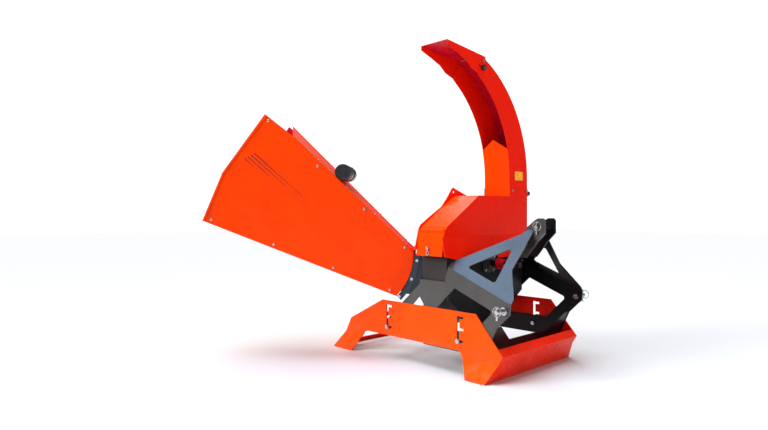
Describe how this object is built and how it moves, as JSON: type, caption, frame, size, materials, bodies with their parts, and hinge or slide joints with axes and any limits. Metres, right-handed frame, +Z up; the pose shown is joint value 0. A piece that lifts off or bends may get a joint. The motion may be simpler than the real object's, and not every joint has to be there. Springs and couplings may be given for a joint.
{
  "type": "wood chipper",
  "caption": "Three-point-linkage disc wood chipper: angled feed hopper, round rotor housing, A-frame hitch, height-adjustable skid stand and swivelling curved discharge chute.",
  "frame": {"origin": "centre of the free end face of the splined PTO input shaft", "axes": "+X forward along the rotor shaft, out of the machine toward the tractor; +Z up; +Y to the side the hood hinge is on"},
  "size_m": [2.0883, 1.9146, 2.018],
  "materials": {
    "frame_black": "semi-gloss powder coat",
    "hood_orange": "gloss powder coat",
    "hopper_orange": "gloss powder coat",
    "stand_orange": "gloss powder coat",
    "throat_slate": "semi-gloss paint",
    "zinc": "bright zinc plate",
    "machined_steel": "machined",
    "rotor_paint": "worn primer",
    "crimson_paint": "gloss paint",
    "cast_housing": "painted casting",
    "black_plastic": "moulded, fine texture"
  },
  "bodies": {
    "frame": {"side_frame_near": "frame_black", "side_frame_far": "frame_black", "front_cross_beam": "frame_black", "rear_cross_beam": "frame_black", "lower_housing": "frame_black", "infeed_throat": "throat_slate", "bed_knife": "machined_steel", "bed_knife_bolts": "zinc", "throat_lock_bolts": "zinc", "front_bearing": "cast_housing", "rear_bearing": "cast_housing", "bearing_bolts": "zinc", "lower_hitch_pins": "zinc", "top_link_pin": "zinc", "housing_hinge_leaf": "frame_black", "hood_hinge_pin": "zinc", "latch_catch": "frame_black", "throat_hinge_knuckles": "throat_slate", "hopper_hinge_pin": "zinc", "stand_bolts": "zinc", "stand_nuts": "zinc"},
    "rotor": {"rotor_shaft": "machined_steel", "shaft_collar": "crimson_paint", "flywheel_disc": "rotor_paint", "disc_hub": "rotor_paint", "chipper_knives": "machined_steel", "knife_bolts": "zinc", "fan_paddles": "rotor_paint"},
    "stand": {"stand_side_near": "stand_orange", "stand_side_far": "stand_orange", "stand_front_plate": "stand_orange", "stand_rear_plate": "stand_orange"},
    "hood": {"hood_shell": "hood_orange", "hood_lifting_lug": "hood_orange", "hood_stiffener_bolts": "zinc", "hood_hinge_leaf": "hood_orange", "latch_screw": "zinc", "chute_ring": "hood_orange"},
    "latch": {"latch_wing": "zinc"},
    "chute": {"chute_turntable": "hood_orange", "chute_collar_bolts": "zinc", "chute_shell": "hood_orange", "chute_cover": "hood_orange", "deflector_pivots": "zinc", "deflector_stud": "zinc"},
    "lock_knob": {"chute_lock_knob": "black_plastic"},
    "deflector": {"deflector_hood": "hood_orange"},
    "tilt_knob": {"deflector_knob": "black_plastic"},
    "hopper": {"hopper_side_near": "hopper_orange", "hopper_side_far": "hopper_orange", "hopper_top": "hopper_orange", "hopper_bottom": "hopper_orange", "hopper_bolts": "zinc", "hopper_hinge_knuckles": "hopper_orange", "document_tube": "black_plastic"},
    "cap": {"tube_cap": "black_plastic"},
    "linchpin_near": {"lower_linchpin_near": "zinc"},
    "linchpin_far": {"lower_linchpin_far": "zinc"},
    "linchpin_top": {"top_linchpin": "zinc"}
  },
  "joints": [
    {"name": "rotor_spin", "type": "hinge", "parent": "frame", "child": "rotor", "pos_m": [-0.25, 0, 0], "axis": [1, 0, 0], "continuous": true},
    {"name": "hood_open", "type": "hinge", "parent": "frame", "child": "hood", "pos_m": [-0.35, 0.474, 0.088], "axis": [-1, 0, 0], "range_deg": [0, 75]},
    {"name": "latch_turn", "type": "hinge", "parent": "hood", "child": "latch", "pos_m": [-0.358, -0.465, 0.112], "axis": [0, -1, 0], "range_deg": [0, 90]},
    {"name": "chute_swivel", "type": "hinge", "parent": "hood", "child": "chute", "pos_m": [-0.35, 0.354, 0.44], "axis": [0, 0, 1], "continuous": true},
    {"name": "chute_lock_turn", "type": "hinge", "parent": "chute", "child": "lock_knob", "pos_m": [-0.264, 0.47, 0.464], "axis": [0, 1, 0], "continuous": true},
    {"name": "deflector_tilt", "type": "hinge", "parent": "chute", "child": "deflector", "pos_m": [-0.35, -0.062, 1.312], "axis": [1, 0, 0], "range_deg": [-10, 40]},
    {"name": "deflector_knob_turn", "type": "hinge", "parent": "chute", "child": "tilt_knob", "pos_m": [-0.235, -0.07, 1.262], "axis": [1, 0, 0], "continuous": true},
    {"name": "hopper_fold", "type": "hinge", "parent": "frame", "child": "hopper", "pos_m": [-0.62898, -0.27918, 0.09375], "axis": [-0.6428, 0.766, 0], "range_deg": [0, 35]},
    {"name": "cap_turn", "type": "hinge", "parent": "hopper", "child": "cap", "pos_m": [-0.98417, -0.57722, 0.5905], "axis": [0.6428, -0.766, 0], "continuous": true},
    {"name": "stand_height", "type": "slide", "parent": "frame", "child": "stand", "axis": [0, 0, 1], "range_m": [-0.138, 0]},
    {"name": "linchpin_near_lift", "type": "slide", "parent": "frame", "child": "linchpin_near", "axis": [0, 0, 1], "range_m": [0, 0.06]},
    {"name": "linchpin_far_lift", "type": "slide", "parent": "frame", "child": "linchpin_far", "axis": [0, 0, 1], "range_m": [0, 0.06]},
    {"name": "linchpin_top_lift", "type": "slide", "parent": "frame", "child": "linchpin_top", "axis": [0, 0, 1], "range_m": [0, 0.06]}
  ]
}
